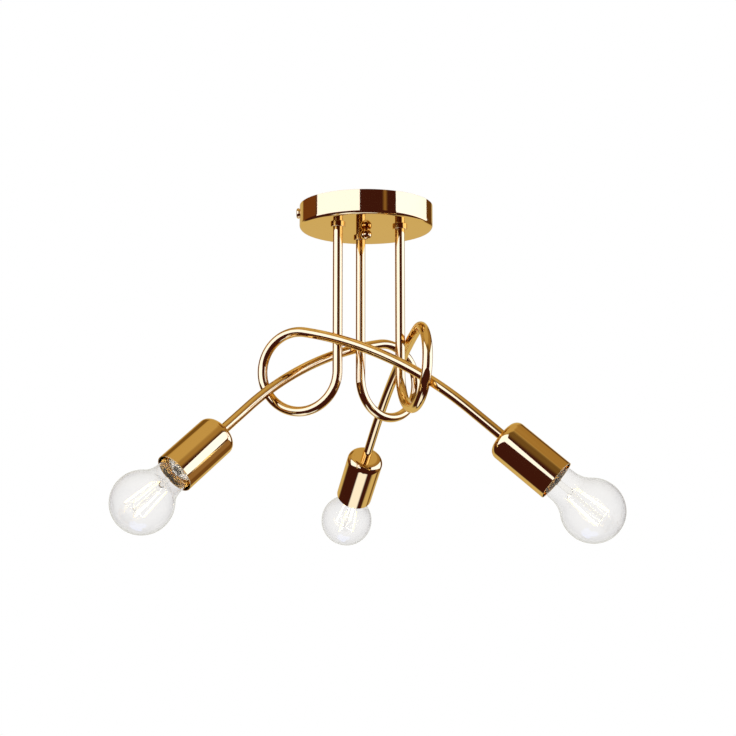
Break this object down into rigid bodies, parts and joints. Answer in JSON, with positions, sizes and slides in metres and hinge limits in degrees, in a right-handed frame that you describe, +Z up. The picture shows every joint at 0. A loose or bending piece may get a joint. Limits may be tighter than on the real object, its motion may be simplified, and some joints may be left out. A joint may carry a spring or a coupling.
{
  "type": "chandelier",
  "caption": "Ceiling light with a round canopy, looped gold tube arms and open sleeves that hold clear globe bulbs on screw caps.",
  "frame": {"origin": "the lamp's centre on the ceiling, midway between the bracket's two slots, on its top face", "axes": "+Z is up, into the ceiling; -Y is the front, the side seen in the picture; +X is the lamp's right, where arm 1 ends"},
  "size_m": [0.4723, 0.4108, 0.3537],
  "materials": {
    "polished_gold": "mirror-polished gold plating",
    "zinc_steel": "bright zinc-plated steel",
    "brass_contact": "bright brass",
    "holder_plastic": "cream heat-proof moulding",
    "block_plastic": "white nylon",
    "wire_sleeve": "silicone insulation",
    "cap_metal": "pressed bright cap",
    "insulator_glass": "black glazed insulator",
    "solder": "tinned contact",
    "clear_glass": "clear thin glass",
    "stem_glass": "clear glass",
    "filament": "warm coated filament sticks, lit",
    "lead_wire": "bright wire"
  },
  "bodies": {
    "lamp": {"canopy": "polished_gold", "ceiling_bracket": "zinc_steel", "stud": "zinc_steel", "stud_nut": "zinc_steel", "tube_collars": "polished_gold", "tube_washers": "zinc_steel", "tube_nuts": "zinc_steel", "sleeve_nuts": "zinc_steel", "earth_screw": "brass_contact", "earth_washer": "zinc_steel", "terminal_block": "block_plastic", "block_screws": "zinc_steel", "arm_tube_1": "polished_gold", "arm_wires_1": "wire_sleeve", "sleeve_1": "polished_gold", "holder_body_1": "holder_plastic", "holder_shell_1": "brass_contact", "centre_contact_1": "brass_contact", "arm_tube_2": "polished_gold", "arm_wires_2": "wire_sleeve", "sleeve_2": "polished_gold", "holder_body_2": "holder_plastic", "holder_shell_2": "brass_contact", "centre_contact_2": "brass_contact", "arm_tube_3": "polished_gold", "arm_wires_3": "wire_sleeve", "sleeve_3": "polished_gold", "holder_body_3": "holder_plastic", "holder_shell_3": "brass_contact", "centre_contact_3": "brass_contact"},
    "ball_core": {"ball_washer": "polished_gold"},
    "ball": {"ball_nut": "polished_gold"},
    "knob_core": {"knob_washer": "polished_gold"},
    "knob": {"side_knob": "polished_gold"},
    "bulb_core_1": {"bulb_tip_1": "solder"},
    "bulb_1": {"bulb_insulator_1": "insulator_glass", "bulb_cap_1": "cap_metal", "bulb_glass_1": "clear_glass", "bulb_stem_1": "stem_glass", "bulb_filaments_1": "filament", "bulb_leads_1": "lead_wire"},
    "bulb_core_2": {"bulb_tip_2": "solder"},
    "bulb_2": {"bulb_insulator_2": "insulator_glass", "bulb_cap_2": "cap_metal", "bulb_glass_2": "clear_glass", "bulb_stem_2": "stem_glass", "bulb_filaments_2": "filament", "bulb_leads_2": "lead_wire"},
    "bulb_core_3": {"bulb_tip_3": "solder"},
    "bulb_3": {"bulb_insulator_3": "insulator_glass", "bulb_cap_3": "cap_metal", "bulb_glass_3": "clear_glass", "bulb_stem_3": "stem_glass", "bulb_filaments_3": "filament", "bulb_leads_3": "lead_wire"}
  },
  "joints": [
    {"name": "bulb_1_out", "type": "slide", "parent": "lamp", "child": "bulb_core_1", "axis": [0.7309, -0.2193, -0.6463], "range_m": [0, 0.0145]},
    {"name": "bulb_1_turn", "type": "hinge", "parent": "bulb_core_1", "child": "bulb_1", "pos_m": [0.15303, -0.09594, -0.26586], "axis": [0.7309, -0.2193, -0.6463], "range_deg": [0, 1440]},
    {"name": "bulb_2_out", "type": "slide", "parent": "lamp", "child": "bulb_core_2", "axis": [-0.5878, -0.5071, -0.6303], "range_m": [0, 0.0145]},
    {"name": "bulb_2_turn", "type": "hinge", "parent": "bulb_core_2", "child": "bulb_2", "pos_m": [-0.16041, -0.07515, -0.25961], "axis": [-0.5878, -0.5071, -0.6303], "range_deg": [0, 1440]},
    {"name": "bulb_3_out", "type": "slide", "parent": "lamp", "child": "bulb_core_3", "axis": [-0.2221, 0.7123, -0.6658], "range_m": [0, 0.0145]},
    {"name": "bulb_3_turn", "type": "hinge", "parent": "bulb_core_3", "child": "bulb_3", "pos_m": [-0.00757, 0.18416, -0.27381], "axis": [-0.2221, 0.7123, -0.6658], "range_deg": [0, 1440]},
    {"name": "ball_nut_out", "type": "slide", "parent": "lamp", "child": "ball_core", "axis": [0, 0, -1], "range_m": [0, 0.00559]},
    {"name": "ball_nut_turn", "type": "hinge", "parent": "ball_core", "child": "ball", "pos_m": [0, 0, -0.025], "axis": [0, 0, -1], "range_deg": [0, 2520]},
    {"name": "side_knob_out", "type": "slide", "parent": "lamp", "child": "knob_core", "axis": [-1, 0, 0], "range_m": [0, 0.00279]},
    {"name": "side_knob_turn", "type": "hinge", "parent": "knob_core", "child": "knob", "pos_m": [-0.0695, 0, -0.007], "axis": [-1, 0, 0], "range_deg": [0, 1440]}
  ],
  "couplings": [
    {"joint": "bulb_1_turn", "follows": "bulb_1_out", "rad_per_m": 1731.4},
    {"joint": "bulb_2_turn", "follows": "bulb_2_out", "rad_per_m": 1731.4},
    {"joint": "bulb_3_turn", "follows": "bulb_3_out", "rad_per_m": 1731.4},
    {"joint": "ball_nut_turn", "follows": "ball_nut_out", "rad_per_m": 7854},
    {"joint": "side_knob_turn", "follows": "side_knob_out", "rad_per_m": 8976}
  ]
}
